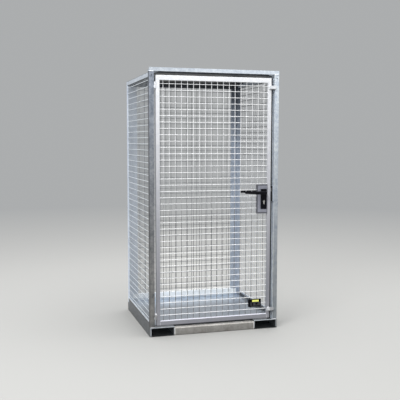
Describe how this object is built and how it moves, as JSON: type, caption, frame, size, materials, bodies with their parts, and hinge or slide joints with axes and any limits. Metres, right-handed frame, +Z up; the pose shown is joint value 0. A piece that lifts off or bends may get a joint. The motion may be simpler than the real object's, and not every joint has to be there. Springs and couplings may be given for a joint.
{
  "type": "gas cylinder cage",
  "caption": "Galvanised storage cage for gas cylinders, with welded mesh walls, sheet roof and floor, fork pockets, and a mesh door on lift-off hinges with a lever lock.",
  "frame": {"origin": "middle of the outline's footprint on the ground, lever included", "axes": "+X to the lock side as seen from the front, +Y from the door to the rear wall, +Z up"},
  "size_m": [1.1, 1.042, 2.16],
  "materials": {
    "zinc_frame": "hot-dip galvanised, dull with faint spangle",
    "zinc_base": "hot-dip galvanised, dull grey",
    "zinc_sheet": "hot-dip galvanised sheet, satin",
    "zinc_wire": "hot-dip galvanised wire, satin",
    "zinc_door": "hot-dip galvanised, brighter zinc",
    "zinc_hinge": "galvanised weld-on hinge",
    "pin_steel": "bright zinc-plated steel",
    "washer_brass": "plain brass",
    "lock_nickel": "matt nickel-plated brass",
    "black_plastic": "black moulded plastic, satin",
    "label_black": "black plate",
    "label_yellow": "plain yellow film",
    "label_grey": "plain grey film"
  },
  "bodies": {
    "cage": {"front_sill": "zinc_frame", "rear_sill": "zinc_frame", "floor_bearer": "zinc_frame", "post_front_left": "zinc_frame", "post_front_right": "zinc_frame", "post_rear_left": "zinc_frame", "post_rear_right": "zinc_frame", "top_rail_left": "zinc_frame", "top_rail_right": "zinc_frame", "top_rail_rear": "zinc_frame", "front_angle": "zinc_frame", "rear_bar_left": "zinc_frame", "rear_bar_right": "zinc_frame", "rear_bottom_rail": "zinc_frame", "roof_gusset_left": "zinc_frame", "roof_gusset_right": "zinc_frame", "closing_strip": "zinc_frame", "fork_pocket_left": "zinc_base", "fork_pocket_right": "zinc_base", "side_skirt_left": "zinc_base", "side_skirt_right": "zinc_base", "rear_skirt": "zinc_base", "floor_sheet": "zinc_sheet", "roof_sheet": "zinc_sheet", "mesh_left": "zinc_wire", "mesh_right": "zinc_wire", "mesh_rear": "zinc_wire", "hinge_post_upper": "zinc_hinge", "hinge_post_lower": "zinc_hinge", "hinge_pin_upper": "pin_steel", "hinge_pin_lower": "pin_steel", "strike_plate": "pin_steel", "roof_screws": "pin_steel", "hinge_washers": "washer_brass"},
    "door": {"door_stile_hinge": "zinc_door", "door_stile_lock": "zinc_door", "door_rail_top": "zinc_door", "door_rail_bottom": "zinc_door", "door_mesh": "zinc_wire", "hinge_door_upper": "zinc_hinge", "hinge_door_lower": "zinc_hinge", "door_stop_upper": "zinc_door", "door_stop_lower": "zinc_door", "label_plate": "label_black", "label_bar": "label_yellow", "label_field": "label_grey", "label_clips": "pin_steel", "lock_case": "zinc_door", "lock_plate_outer": "black_plastic", "lock_plate_inner": "black_plastic", "cylinder_body": "lock_nickel"},
    "lever": {"lever_outer": "black_plastic", "lever_inner": "black_plastic", "spindle": "pin_steel", "follower": "pin_steel"},
    "latch": {"latch_bolt": "pin_steel"},
    "deadbolt": {"deadbolt": "pin_steel"},
    "plug": {"cylinder_plug": "lock_nickel"}
  },
  "joints": [
    {"name": "door_swing", "type": "hinge", "parent": "cage", "child": "door", "pos_m": [-0.5025, -0.461, 1.1], "axis": [0, 0, -1], "range_deg": [0, 180]},
    {"name": "lever_turn", "type": "hinge", "parent": "door", "child": "lever", "pos_m": [0.42, -0.444, 1.155], "axis": [0, -1, 0], "range_deg": [0, 40], "stiffness_Nm_per_rad": 1.5, "springref_deg": -22.92},
    {"name": "latch_slide", "type": "slide", "parent": "door", "child": "latch", "axis": [-1, 0, 0], "range_m": [0, 0.012]},
    {"name": "key_turn", "type": "hinge", "parent": "door", "child": "plug", "pos_m": [0.42, -0.444, 1.083], "axis": [0, 1, 0], "range_deg": [0, 360]},
    {"name": "deadbolt_slide", "type": "slide", "parent": "door", "child": "deadbolt", "axis": [1, 0, 0], "range_m": [0, 0.032]}
  ],
  "couplings": [
    {"joint": "latch_slide", "follows": "lever_turn", "m_per_rad": 0.01718},
    {"joint": "key_turn", "follows": "deadbolt_slide", "rad_per_m": 196.34}
  ]
}
